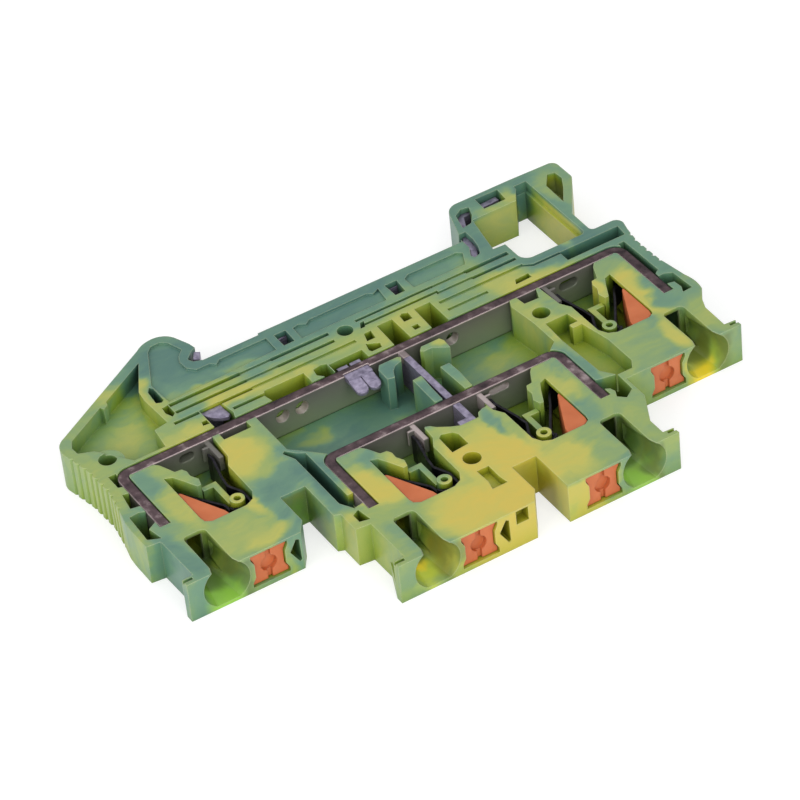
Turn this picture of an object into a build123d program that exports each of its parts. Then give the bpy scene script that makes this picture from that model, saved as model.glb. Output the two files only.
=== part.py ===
"""Two-tier earth terminal block for a 35 mm mounting rail, lying on its closed side.

Millimetres. +Z is up through the thickness, +X runs along the length, +Y points
from the wire entries towards the rail. The origin is the middle of the closed side.
"""
import os

from build123d import *

os.makedirs("parts", exist_ok=True)

# Overall size of the moulding
length = 72.8
depth = 50.2
thickness = 5.2
floor = 0.7

x_end = length / 2
y_back = depth / 2
y_front = -depth / 2

# The outer tier of wire entries stands back from the inner tier
tier_step = 11.15
y_outer = y_front + tier_step

# Rail seat
seat_y = y_back - 6.65
seat_step_y = seat_y - 0.3

# Busbars are strips standing on edge
bar_thick = 1.2
bar_low = 0.8
bar_high = 5.05
bar_clear = 0.08
bar_bend = 1.15
lower_bar_y = y_outer + 20.37
upper_bar_y = y_front + 20.0
leg_offset = 1.7
leg_end = 9.95

# Cross link between the two busbars
link_x = 3.1
link_thick = 0.85
link_high = 4.95
lap_z = 2.9

# Wire entry
funnel_radius = 2.85
funnel_z = 2.85
funnel_floor = 0.4
funnel_length = 6.3
funnel_end = 1.8
slot_width = 2.7
slot_back = 6.95
slot_corner = 0.6
wire_floor = 1.1
wire_roof = 4.7

# Release button
window_near = 3.05
window_far = 7.65
window_low = 0.6
window_high = 4.95
window_waist = 0.4
window_length = 6.0
button_clear = 0.07
button_face = 0.35
button_body_low = 0.85
button_body_high = 4.72
button_end_high = 5.0

# Clamping spring
spring_thick = 0.3
spring_low = 0.9
spring_high = 4.45

# Round post that carries the spring loop
post_u = 6.87
post_v = 9.35
post_radius = 0.85
post_high = 4.9
post_hole = 0.42
rib_high = 4.1

# Rail contact
contact_thick = 0.75
contact_low = 0.9
contact_high = 4.4
claw_high = 5.0
contact_clear = 0.08
contact_bend = 0.55

# Earth clip: a flat fork let into the outer busbar
clip_x = -2.7
clip_width = 3.2
tongue_width = 1.55
tongue_gap = 0.1
clip_low = 4.3
clip_high = 4.7

# Each clamping unit: entry centre line, front face, side its button is on, busbar face above it
units = (
    ("a", -31.2, y_outer, 1, lower_bar_y - bar_thick / 2),
    ("b", -11.6, y_front, 1, upper_bar_y - bar_thick / 2),
    ("c", 15.05, y_front, -1, upper_bar_y - bar_thick / 2),
    ("d", 31.25, y_outer, -1, lower_bar_y - bar_thick / 2),
)
entry_a, entry_b, entry_c, entry_d = (unit[1] for unit in units)

# Corner points of the two busbars along their middle line
lower_bar_path = (
    (entry_a - leg_offset, y_outer + leg_end),
    (entry_a - leg_offset, lower_bar_y),
    (entry_d + leg_offset, lower_bar_y),
    (entry_d + leg_offset, y_outer + leg_end),
)
upper_bar_path = (
    (entry_b - leg_offset, y_front + leg_end),
    (entry_b - leg_offset, upper_bar_y),
    (entry_c + leg_offset, upper_bar_y),
    (entry_c + leg_offset, y_front + leg_end),
)

# Middle line of the rail contact from its claw to its spring end
contact_path = (
    (-15.4, seat_y + 1.6),
    (-16.1, seat_y + 0.5),
    (-17.5, seat_y - 0.05),
    (-17.5, seat_y - 1.15),
    (17.2, seat_y - 1.15),
    (19.2, seat_y - 2.85),
    (20.1, seat_y - 1.25),
    (20.35, seat_y + 0.75),
    (22.3, y_back - 1.5),
    (27.6, y_back - 1.2),
)

# Middle line of a clamping spring in its unit's own directions
spring_path = (
    (8.22, 18.2),
    (8.22, 17.2),
    (7.45, 13.9),
    (7.25, 12.3),
    (8.12, 10.4),
    (8.05, 8.3),
    (6.85, 8.05),
    (5.75, 8.5),
    (5.6, 10.1),
    (3.3, 13.6),
    (2.1, 15.6),
    (-0.55, 16.9),
)


with BuildPart() as housing:
    # Outline of the moulding
    with BuildSketch():
        with BuildLine():
            Polyline(
                (-35.9, y_outer),
                (-21.8, y_outer),
                (-20.7, y_outer + 1.55),
                (-20.7, y_outer + 6.2),
                (-17.6, y_outer + 6.2),
                (-17.6, y_outer + 0.15),
                (-16.9, y_outer - 0.15),
                (-16.9, y_front + 7.9),
                (-15.1, y_front + 7.7),
                (-15.0, y_front + 1.1),
                (-16.4, y_front + 1.0),
                (-16.4, y_front),
                (0.9, y_front),
                (2.0, y_front + 1.7),
                (2.0, y_front + 6.25),
                (5.1, y_front + 6.25),
                (5.1, y_front),
                (19.7, y_front),
                (19.6, y_front + 1.0),
                (18.3, y_front + 1.1),
                (18.3, y_front + 3.5),
                (18.8, y_front + 4.5),
                (20.3, y_front + 7.5),
                (20.3, y_outer),
                (35.9, y_outer),
                (35.8, y_outer + 1.05),
                (34.4, y_outer + 1.15),
                (34.5, -9.0),
                (35.1, -7.5),
                (36.2, -5.9),
            )
            ThreePointArc((36.2, -5.9), (x_end, -4.6), (36.1, -2.6))
            Polyline(
                (36.1, -2.6),
                (35.5, 1.5),
                (35.4, 6.0),
                (35.8, 8.5),
                (36.1, 9.7),
            )
            ThreePointArc((36.1, 9.7), (35.9, 10.6), (35.1, 10.95))
            Line((35.1, 10.95), (33.0, 10.95))
            ThreePointArc((33.0, 10.95), (32.5, 11.15), (32.35, 11.6))
            Polyline((32.35, 11.6), (32.4, 15.0), (36.3, y_back - 4.2))
            ThreePointArc((36.3, y_back - 4.2), (x_end, y_back - 3.8), (x_end, y_back - 3.5))
            Line((x_end, y_back - 3.5), (x_end, y_back - 1.1))
            ThreePointArc((x_end, y_back - 1.1), (36.15, y_back - 0.45), (35.5, y_back - 0.15))
            Polyline((35.5, y_back - 0.15), (30.0, y_back), (23.0, y_back))
            ThreePointArc((23.0, y_back), (21.7, y_back - 0.3), (20.95, y_back - 1.3))
            Polyline(
                (20.95, y_back - 1.3),
                (19.9, seat_y + 1.95),
                (19.3, seat_y),
                (-8.3, seat_y),
                (-8.4, seat_step_y),
                (-15.6, seat_step_y),
                (-16.7, seat_y + 0.15),
                (-17.0, seat_y + 0.85),
                (-15.95, seat_y + 1.9),
                (-15.3, seat_y + 2.25),
                (-15.5, y_back - 3.4),
                (-16.2, y_back - 1.6),
            )
            ThreePointArc((-16.2, y_back - 1.6), (-17.0, y_back - 0.5), (-18.4, y_back))
            ThreePointArc((-18.4, y_back), (-19.7, y_back - 0.2), (-20.9, y_back - 0.9))
            Line((-20.9, y_back - 0.9), (-34.9, 15.7))
            ThreePointArc((-34.9, 15.7), (-36.0, 14.7), (-36.3, 13.2))
            Polyline(
                (-36.3, 13.2),
                (-35.5, 9.0),
                (-35.3, 4.5),
                (-35.9, 0.8),
                (-36.3, -1.0),
                (-x_end, -2.4),
                (-x_end, -5.9),
                (-34.7, -6.1),
                (-34.5, y_outer + 1.15),
                (-35.9, y_outer + 1.05),
                (-35.9, y_outer),
            )
        make_face()
        Rectangle(length, depth, mode=Mode.INTERSECT)
    extrude(amount=thickness)

    # Finger grip: upright flutes on both ends
    with BuildSketch():
        for wall_x, tooth_y, inward in (
            (-36.05, 11.8, 1),
            (-35.85, 10.65, 1),
            (-35.65, 9.5, 1),
            (-35.45, 8.35, 1),
            (-35.4, 7.2, 1),
            (-35.35, 6.05, 1),
            (-35.3, 4.9, 1),
            (-35.45, 3.75, 1),
            (-35.65, 2.6, 1),
            (-35.85, 1.45, 1),
            (35.65, 7.4, -1),
            (35.5, 6.2, -1),
            (35.45, 5.0, -1),
            (35.45, 3.8, -1),
            (35.5, 2.6, -1),
            (35.6, 1.4, -1),
        ):
            with BuildLine():
                Polyline(
                    (wall_x - inward * 0.3, tooth_y + 0.55),
                    (wall_x + inward * 0.35, tooth_y),
                    (wall_x - inward * 0.3, tooth_y - 0.55),
                    close=True,
                )
            make_face()
    extrude(amount=thickness, mode=Mode.SUBTRACT)

    # Gussets under the marker lips of the two left entries
    with BuildSketch():
        for lip_x, lip_y in ((-35.9, y_outer), (-16.4, y_front)):
            with BuildLine():
                Polyline(
                    (lip_x, lip_y + 1.0),
                    (lip_x + 1.5, lip_y + 4.6),
                    (lip_x + 1.5, lip_y + 1.0),
                    close=True,
                )
            make_face()
    extrude(amount=2.2)

    # Central well between the tiers, with its posts left standing
    with BuildSketch(Plane.XY.offset(floor)):
        with BuildLine():
            Polyline(
                (-16.0, 6.1),
                (17.8, 6.1),
                (17.2, 4.7),
                (17.6, 0.6),
                (17.6, -3.6),
                (16.0, -4.9),
                (-12.6, -4.9),
                (-14.0, -3.3),
                (-16.0, -1.2),
                close=True,
            )
        make_face()
        with BuildLine():
            Polyline(
                (-0.8, 4.3),
                (-0.3, 5.0),
                (2.1, 5.0),
                (2.4, 4.7),
                (2.1, 4.1),
                (1.1, 3.8),
                (0.5, 3.2),
                (0.0, 2.1),
                (-0.85, 2.3),
                close=True,
            )
        make_face(mode=Mode.SUBTRACT)
        with BuildLine():
            Polyline(
                (4.7, 4.3),
                (5.2, 4.9),
                (7.6, 4.9),
                (7.9, 4.3),
                (7.8, 2.8),
                (6.8, 3.5),
                (6.1, 4.0),
                (5.0, 4.0),
                close=True,
            )
        make_face(mode=Mode.SUBTRACT)
        with BuildLine():
            Polyline((1.3, 0.4), (2.5, 0.5), (2.3, -2.0), (2.2, -4.9), (1.2, -4.9), close=True)
        make_face(mode=Mode.SUBTRACT)
        with BuildLine():
            Polyline((5.0, 0.5), (6.2, 0.5), (6.3, -1.5), (6.1, -4.9), (5.2, -4.9), close=True)
        make_face(mode=Mode.SUBTRACT)
    extrude(amount=thickness, mode=Mode.SUBTRACT)

    # Low wall behind the inner busbar
    with BuildSketch(Plane.XY.offset(floor)):
        with Locations((-7.6, upper_bar_y + 0.9), (11.2, upper_bar_y + 0.9)):
            Rectangle(8.8, 0.5)
    extrude(amount=3.6)

    # Well between the inner busbar and the middle block
    with BuildSketch(Plane.XY.offset(floor)):
        with BuildLine():
            Polyline(
                (-3.0, -9.5),
                (-2.5, -8.8),
                (-2.3, -7.7),
                (-1.9, -7.3),
                (-1.4, -7.5),
                (-0.9, -8.1),
                (0.4, -9.0),
                (1.4, -9.5),
                (3.7, -9.5),
                (4.1, -8.8),
                (4.8, -8.5),
                (5.5, -8.4),
                (5.6, -6.1),
                (6.0, -6.1),
                (6.1, -8.5),
                (6.5, -9.6),
                (6.5, -5.5),
                (-3.0, -5.5),
                close=True,
            )
        make_face()
    extrude(amount=thickness, mode=Mode.SUBTRACT)

    # Clamp bays with their hooked stops left standing
    with BuildSketch(Plane.XY.offset(floor)):
        for name, ux, uy, side, bar_y in units:
            bar_v = bar_y - uy
            with BuildLine():
                Polyline(
                    *[
                        (ux + side * u, uy + v)
                        for u, v in (
                            (1.85, 8.6),
                            (2.0, 7.85),
                            (2.7, 7.4),
                            (7.0, 7.4),
                            (8.0, 7.9),
                            (8.6, 9.0),
                            (8.65, 14.4),
                            (9.4, 15.7),
                            (9.7, bar_v + 0.1),
                            (-0.6, bar_v + 0.1),
                            (-0.6, bar_v - 0.2),
                            (2.1, bar_v - 0.2),
                            (2.6, bar_v - 0.8),
                            (3.4, 17.0),
                            (4.2, 16.9),
                            (4.5, 16.3),
                            (4.45, 15.4),
                            (4.95, 14.4),
                            (4.7, 13.4),
                            (4.2, 13.4),
                            (3.3, 15.3),
                            (2.7, 16.4),
                            (1.85, 16.7),
                        )
                    ],
                    close=True,
                )
            make_face()
    extrude(amount=thickness, mode=Mode.SUBTRACT)

    # Round post with a rib beside each spring loop
    with BuildSketch(Plane.XY.offset(floor)):
        for name, ux, uy, side, bar_y in units:
            with Locations((ux + side * 6.4, uy + 11.9)):
                Rectangle(0.7, 4.0)
            with Locations((ux + side * 5.8, uy + 13.75)):
                Rectangle(1.9, 0.7)
    extrude(amount=rib_high - floor)
    posts = [(ux + side * post_u, uy + post_v) for name, ux, uy, side, bar_y in units]
    with BuildSketch(Plane.XY.offset(floor)):
        with Locations(*posts):
            Circle(post_radius)
    extrude(amount=post_high - floor)
    with BuildSketch(Plane.XY.offset(post_high)):
        with Locations(*posts):
            Circle(post_hole)
    extrude(amount=-2.4, mode=Mode.SUBTRACT)

    # Wire funnels
    for name, ux, uy, side, bar_y in units:
        with BuildSketch(Plane.XZ.offset(-uy)):
            with Locations((ux, funnel_z)):
                Circle(funnel_radius)
            with Locations((ux, funnel_floor + 5)):
                Rectangle(10, 10, mode=Mode.INTERSECT)
        with BuildSketch(Plane.XZ.offset(-uy - funnel_length)):
            with Locations((ux, funnel_z)):
                Circle(funnel_end)
            with Locations((ux, wire_floor + 5)):
                Rectangle(10, 10, mode=Mode.INTERSECT)
        loft(mode=Mode.SUBTRACT)

    # Wire slots and the covered wire chambers behind them
    with BuildSketch(Plane.XY.offset(wire_floor)):
        for name, ux, uy, side, bar_y in units:
            with Locations((ux, uy + (slot_back - slot_corner) / 2)):
                Rectangle(slot_width, slot_back - slot_corner)
            with Locations((ux, uy + slot_back - slot_width)):
                RectangleRounded(slot_width, 2 * slot_width, slot_corner)
    extrude(amount=thickness, mode=Mode.SUBTRACT)
    with BuildSketch(Plane.XY.offset(wire_floor)):
        for name, ux, uy, side, bar_y in units:
            chamber = bar_y - uy - 0.7 - slot_back
            with Locations((ux + side * 0.1, uy + slot_back + chamber / 2)):
                Rectangle(2.5, chamber)
            with Locations((ux + side * 1.6, uy + 15.4)):
                Rectangle(0.8, 3.0)
    extrude(amount=wire_roof - wire_floor, mode=Mode.SUBTRACT)

    # Waisted windows for the buttons and the guides behind them
    for face_y in (y_outer, y_front):
        with BuildSketch(Plane.XZ.offset(-face_y)):
            for name, ux, uy, side, bar_y in units:
                if uy == face_y:
                    with BuildLine():
                        Polyline(
                            *[
                                (ux + side * u, z)
                                for u, z in (
                                    (window_near, window_low),
                                    (window_near, window_low + 0.6),
                                    (window_near + window_waist, window_low + 1.3),
                                    (window_near + window_waist, window_high - 1.3),
                                    (window_near, window_high - 0.5),
                                    (window_near, window_high),
                                    (window_far, window_high),
                                    (window_far, window_high - 0.5),
                                    (window_far - window_waist, window_high - 1.3),
                                    (window_far - window_waist, window_low + 1.3),
                                    (window_far, window_low + 0.6),
                                    (window_far, window_low),
                                )
                            ],
                            close=True,
                        )
                    make_face()
        extrude(amount=-window_length, mode=Mode.SUBTRACT)
    with BuildSketch(Plane.XY.offset(button_body_low - 0.1)):
        for name, ux, uy, side, bar_y in units:
            with BuildLine():
                Polyline(
                    *[
                        (ux + side * u, uy + v)
                        for u, v in (
                            (3.4, 3.6),
                            (7.3, 3.6),
                            (7.5, 8.0),
                            (1.9, 8.0),
                            (1.9, 6.6),
                            (2.6, 4.6),
                        )
                    ],
                    close=True,
                )
            make_face()
    extrude(amount=button_body_high - button_body_low + 0.2, mode=Mode.SUBTRACT)

    # Small nicks for a marker beside each entry
    with BuildSketch(Plane.XY.offset(thickness - 0.3)):
        for name, ux, uy, side, bar_y in units:
            with Locations((ux - side * 4.2, uy + 0.7)):
                Rectangle(1.2, 0.4)
    extrude(amount=1, mode=Mode.SUBTRACT)

    # Slots the busbars drop into
    with BuildSketch(Plane.XY.offset(bar_low - 0.05)):
        for path in (lower_bar_path, upper_bar_path):
            with BuildLine():
                FilletPolyline(*path, radius=bar_bend)
            trace(line_width=bar_thick + 2 * bar_clear)
    extrude(amount=thickness, mode=Mode.SUBTRACT)

    # Slot for the cross link and for the end lug of the inner tier
    with BuildSketch(Plane.XY.offset(floor)):
        with Locations((link_x, (y_outer + y_front) / 2 + 18.025)):
            Rectangle(link_thick + 0.3, tier_step + 4.85)
    extrude(amount=thickness, mode=Mode.SUBTRACT)

    # Pockets on the outer side of each busbar leg
    with BuildSketch(Plane.XY.offset(1.2)):
        for ux, uy, side, outline in (
            (entry_a, y_outer, 1, ((-2.9, 20.75), (-2.0, 20.75), (-2.0, 18.2), (-2.9, 18.5))),
            (entry_a, y_outer, 1, ((-3.1, 17.2), (-2.1, 16.9), (-2.1, 14.3), (-3.5, 14.6))),
            (
                entry_a,
                y_outer,
                1,
                (
                    (-4.3, 13.4),
                    (-3.1, 13.5),
                    (-2.1, 13.1),
                    (-2.1, 11.2),
                    (-3.5, 10.4),
                    (-3.1, 8.3),
                    (-4.5, 9.0),
                ),
            ),
            (
                entry_b,
                y_front,
                1,
                (
                    (-4.8, 23.8),
                    (-3.9, 22.7),
                    (-3.1, 22.1),
                    (-3.1, 13.1),
                    (-3.5, 10.8),
                    (-4.5, 12.6),
                    (-4.5, 21.9),
                    (-5.2, 23.5),
                ),
            ),
            (entry_b, y_front, 1, ((-3.3, 13.2), (-2.1, 13.2), (-2.1, 11.2), (-3.4, 11.0))),
            (entry_b, y_front, 1, ((-4.3, 10.0), (-3.4, 10.5), (-3.1, 8.4), (-4.3, 8.7))),
            (
                entry_c,
                y_front,
                -1,
                (
                    (-2.1, 13.1),
                    (-3.1, 12.8),
                    (-4.9, 12.4),
                    (-4.8, 9.3),
                    (-3.5, 8.4),
                    (-2.7, 9.2),
                    (-3.1, 10.1),
                    (-2.9, 10.8),
                    (-2.1, 11.3),
                ),
            ),
            (entry_d, y_outer, -1, ((-2.1, 20.8), (-2.9, 20.8), (-3.0, 14.0), (-2.1, 13.4))),
            (
                entry_d,
                y_outer,
                -1,
                (
                    (-2.1, 12.9),
                    (-3.1, 13.0),
                    (-4.0, 12.5),
                    (-4.2, 8.95),
                    (-2.9, 8.85),
                    (-3.3, 9.75),
                    (-3.2, 11.0),
                    (-2.1, 11.3),
                ),
            ),
        ):
            with BuildLine():
                Polyline(*[(ux + side * u, uy + v) for u, v in outline], close=True)
            make_face()
    extrude(amount=thickness, mode=Mode.SUBTRACT)

    # Hollow corner beside the rail hook
    with BuildSketch(Plane.XY.offset(3.0)):
        with BuildLine():
            Polyline(
                (-21.8, 22.2),
                (-24.3, 17.6),
                (-24.5, 16.0),
                (-24.3, 11.0),
                (-26.1, 10.7),
                (-26.5, 7.5),
                (-30.4, 7.5),
                (-33.2, 11.6),
                (-34.9, 12.4),
                (-35.0, 13.6),
                (-34.4, 14.7),
                (-29.1, 17.9),
                (-28.9, 17.4),
                (-28.2, 17.8),
                (-28.1, 18.4),
                close=True,
            )
        make_face()
    extrude(amount=thickness, mode=Mode.SUBTRACT)
    with BuildSketch(Plane.XY.offset(floor)):
        with Locations((-32.7, 9.5)):
            Circle(1.95)
            Circle(1.05, mode=Mode.SUBTRACT)
    extrude(amount=4.9 - floor)
    with BuildSketch(Plane.XY.offset(1.2)):
        with Locations((-32.7, 9.5)):
            Circle(1.05)
    extrude(amount=thickness, mode=Mode.SUBTRACT)

    # Shallow panels beside the rail seat
    with BuildSketch(Plane.XY.offset(thickness - 0.3)):
        with BuildLine():
            Polyline(
                (-20.0, 23.2),
                (-19.3, 23.9),
                (-18.2, 24.0),
                (-17.4, 23.4),
                (-16.7, 21.3),
                (-17.6, 20.4),
                (-18.0, 19.4),
                (-17.9, 18.0),
                (-17.1, 17.1),
                (-15.4, 17.1),
                (-14.8, 16.5),
                (-14.1, 17.1),
                (-8.0, 17.1),
                (-8.1, 14.6),
                (-22.4, 14.0),
                (-22.6, 17.7),
                close=True,
            )
        make_face()
        with BuildLine():
            Polyline(
                (-4.6, 16.8),
                (-3.8, 17.0),
                (-3.0, 16.5),
                (-2.3, 17.0),
                (5.3, 17.0),
                (6.0, 16.5),
                (6.9, 17.0),
                (6.6, 14.6),
                (-4.7, 14.6),
                close=True,
            )
        make_face()
        with BuildLine():
            Polyline(
                (10.3, 16.6),
                (11.0, 17.1),
                (17.6, 17.1),
                (18.2, 16.6),
                (17.3, 14.6),
                (10.3, 14.6),
                close=True,
            )
        make_face()
    extrude(amount=1, mode=Mode.SUBTRACT)

    # Long grooves along the rail side, listed by depth
    for deep, grooves in (
        (
            0.5,
            (
                (-18.1, 13.4, 9.2, 0.6),
                (-5.7, 13.4, 7.6, 0.55),
                (6.9, 13.45, 10.4, 0.4),
                (19.4, 13.35, 5.9, 0.65),
                (-18.1, 11.9, 9.2, 0.5),
                (-5.7, 11.9, 7.4, 0.5),
                (7.0, 12.3, 10.2, 0.4),
                (19.5, 11.9, 6.0, 0.5),
                (-15.8, 10.3, 4.2, 0.5),
                (-22.2, 10.3, 3.2, 0.5),
                (-15.0, 8.55, 4.4, 0.5),
            ),
        ),
        (
            0.25,
            (
                (-11.6, 13.4, 4.4, 0.4),
                (14.2, 13.4, 4.8, 0.4),
                (-11.6, 11.9, 4.4, 0.4),
                (14.2, 12.0, 4.8, 0.4),
                (-6.9, 10.35, 13.6, 0.5),
                (16.8, 10.35, 11.4, 0.5),
                (13.9, 8.65, 5.4, 0.45),
            ),
        ),
    ):
        with BuildSketch(Plane.XY.offset(thickness - deep)):
            for groove_x, groove_y, long, wide in grooves:
                with Locations((groove_x, groove_y)):
                    Rectangle(long, wide)
        extrude(amount=1, mode=Mode.SUBTRACT)
    with BuildSketch(Plane.XY.offset(thickness - 0.3)):
        with BuildLine():
            Polyline(
                (22.3, 10.5),
                (23.6, 9.8),
                (27.1, 9.8),
                (27.1, 9.4),
                (23.4, 9.4),
                (22.3, 10.1),
                close=True,
            )
        make_face()
    extrude(amount=1, mode=Mode.SUBTRACT)

    # Cells between the rail side and the outer busbar, listed by the height of their floors
    for low, outlines in (
        (
            floor,
            (
                ((-20.5, 6.9), (-20.5, 10.6), (-17.9, 10.6), (-17.5, 8.0), (-17.9, 6.9)),
                ((-20.7, 4.5), (-20.7, 6.1), (-17.2, 6.1), (-17.2, 4.5)),
            ),
        ),
        (
            1.2,
            (
                ((-4.8, 6.8), (-4.8, 8.6), (-0.4, 8.6), (-0.4, 6.8)),
                ((3.0, 7.0), (3.2, 11.2), (5.2, 11.2), (5.2, 7.0)),
                ((8.0, 7.0), (8.2, 11.2), (10.3, 11.2), (10.3, 7.0)),
                ((18.5, 6.1), (18.7, 4.2), (20.6, 4.1), (21.3, 5.9), (21.3, 6.1)),
                ((-7.0, 14.7), (-7.0, 17.0), (-5.5, 17.0), (-5.6, 14.7)),
                ((7.9, 14.7), (7.8, 17.0), (9.4, 17.0), (9.2, 14.7)),
                ((24.8, 22.2), (24.9, 24.4), (28.0, 24.4), (27.8, 22.2)),
            ),
        ),
        (
            2.2,
            (
                ((0.9, 9.5), (1.3, 10.9), (2.2, 10.9), (2.0, 9.5)),
                ((0.2, 8.0), (0.5, 9.2), (1.2, 8.8), (1.9, 8.4), (1.7, 7.6), (0.4, 7.6)),
                ((6.1, 9.9), (6.2, 11.1), (6.7, 11.4), (7.3, 11.1), (7.2, 9.9)),
                ((-23.7, 14.7), (-23.5, 16.9), (-23.0, 17.6), (-22.7, 17.2), (-22.7, 14.7), (-23.1, 14.4)),
                ((-23.7, 12.4), (-23.6, 13.5), (-22.8, 13.6), (-22.8, 11.9), (-23.3, 11.5)),
                ((-1.7, -9.9), (-1.2, -9.5), (0.0, -9.9), (0.4, -10.6), (0.4, -12.6), (-1.8, -12.8)),
                ((32.9, 17.6), (33.0, 21.4), (34.3, 23.2), (35.2, 23.0), (35.3, 21.6), (34.4, 19.9)),
            ),
        ),
        (
            2.8,
            (
                ((-13.0, 6.9), (-13.3, 8.2), (-12.9, 9.1), (-7.8, 9.1), (-7.8, 6.9)),
                ((-6.8, 7.8), (-6.6, 8.9), (-5.5, 9.1), (-4.9, 8.9), (-4.9, 6.9), (-6.0, 6.9)),
                ((6.3, 7.9), (6.3, 8.7), (7.1, 8.7), (7.1, 7.9)),
            ),
        ),
        (
            3.6,
            (
                ((-21.4, 8.0), (-21.2, 8.7), (-20.6, 8.7), (-20.6, 7.9)),
                ((19.9, 7.8), (20.3, 8.6), (22.1, 8.7), (22.1, 7.9)),
                ((27.1, 7.9), (27.1, 9.7), (35.2, 9.7), (35.0, 7.9)),
            ),
        ),
        (
            4.2,
            (
                ((1.5, 11.9), (2.0, 12.9), (2.5, 12.9), (2.1, 11.9)),
                ((-1.4, -17.1), (0.1, -17.1), (0.1, -19.3), (0.3, -20.6), (-1.6, -20.6), (-1.3, -19.3)),
            ),
        ),
    ):
        with BuildSketch(Plane.XY.offset(low)):
            for outline in outlines:
                with BuildLine():
                    Polyline(*outline, close=True)
                make_face()
        extrude(amount=thickness, mode=Mode.SUBTRACT)

    # Blind round holes
    for hole_x, hole_y, radius, low in (
        (-0.1, 12.7, 0.95, 3.6),
        (19.3, 1.65, 1.05, 2.0),
        (-0.6, -14.9, 1.05, 3.2),
    ):
        with BuildSketch(Plane.XY.offset(low)):
            with Locations((hole_x, hole_y)):
                Circle(radius)
        extrude(amount=thickness, mode=Mode.SUBTRACT)

    # Lowered panel between the two right-hand units, with its small rib
    with BuildSketch(Plane.XY.offset(2.7)):
        with BuildLine():
            Polyline(
                (18.6, -0.3),
                (21.5, -0.3),
                (21.9, -3.2),
                (22.6, -7.0),
                (22.6, -11.6),
                (21.9, -12.8),
                (19.9, -12.8),
                (18.7, -11.0),
                (18.4, -4.0),
                close=True,
            )
        make_face()
        with Locations((21.4, -2.5)):
            Rectangle(1.6, 0.7, mode=Mode.SUBTRACT)
    extrude(amount=thickness, mode=Mode.SUBTRACT)

    # Notches in the front faces beside the left-hand buttons
    for ux, uy in ((entry_a, y_outer), (entry_b, y_front)):
        with BuildSketch(Plane.XZ.offset(-uy)):
            with BuildLine():
                Polyline(
                    (ux + 7.85, 3.05),
                    (ux + 8.7, 4.5),
                    (ux + 9.1, 4.3),
                    (ux + 9.15, 1.4),
                    (ux + 8.9, 1.3),
                    close=True,
                )
            make_face()
        extrude(amount=-2.0, mode=Mode.SUBTRACT)
    with BuildSketch(Plane.XZ.offset(-y_front)):
        with Locations((-0.8, 4.1)):
            Rectangle(1.55, 1.8)
    extrude(amount=-1.4, mode=Mode.SUBTRACT)

    # Opening of the snap foot
    with BuildSketch():
        with BuildLine():
            Polyline(
                (21.4, 15.0),
                (23.0, 14.9),
                (23.0, 12.3),
            )
            ThreePointArc((23.0, 12.3), (23.4, 11.35), (24.3, 10.95))
            Polyline(
                (24.3, 10.95),
                (31.2, 10.95),
                (31.2, 23.4),
                (30.0, 23.4),
                (28.6, 21.2),
                (22.5, 21.2),
                (21.4, 15.0),
            )
        make_face()
    extrude(amount=thickness, mode=Mode.SUBTRACT)
    with BuildSketch(Plane.XY.offset(3.9)):
        with BuildLine():
            Polyline(
                (31.2, 11.0),
                (31.55, 11.4),
                (31.55, 23.7),
                (29.9, 23.7),
                (29.8, 23.2),
                (31.2, 23.2),
                close=True,
            )
        make_face()
    extrude(amount=thickness, mode=Mode.SUBTRACT)

    # Slot for the rail contact, covered except at its claw and spring end
    with BuildSketch(Plane.XY.offset(contact_low - 0.05)):
        with BuildLine():
            FilletPolyline(*contact_path, radius=contact_bend)
        trace(line_width=contact_thick + 2 * contact_clear)
    extrude(amount=contact_high - contact_low + 0.1, mode=Mode.SUBTRACT)
    with BuildSketch(Plane.XY.offset(contact_low - 0.05)):
        with BuildLine():
            Polyline(
                (18.9, 15.0),
                (18.7, 15.6),
                (19.4, 17.0),
                (19.4, 18.6),
                (19.5, 19.8),
                (20.6, 19.8),
                (20.6, 18.2),
                (20.3, 16.5),
                (19.8, 15.3),
                close=True,
            )
        make_face()
        with BuildLine():
            Polyline(
                (20.8, 20.6),
                (21.4, 23.1),
                (22.5, 23.8),
                (23.5, 23.6),
                (23.0, 22.1),
                (22.1, 20.8),
                close=True,
            )
        make_face()
    extrude(amount=thickness, mode=Mode.SUBTRACT)

    # Hollows behind the spring windows of the outer busbar
    with BuildSketch(Plane.XZ.offset(-lower_bar_y)):
        with Locations((entry_a + 6.3, 3.9), (entry_d - 5.6, 3.7)):
            SlotOverall(2.6, 1.4)
    extrude(amount=-1.8, mode=Mode.SUBTRACT)
housing.part.label = "housing"
export_step(housing.part, "parts/housing.step")


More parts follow.
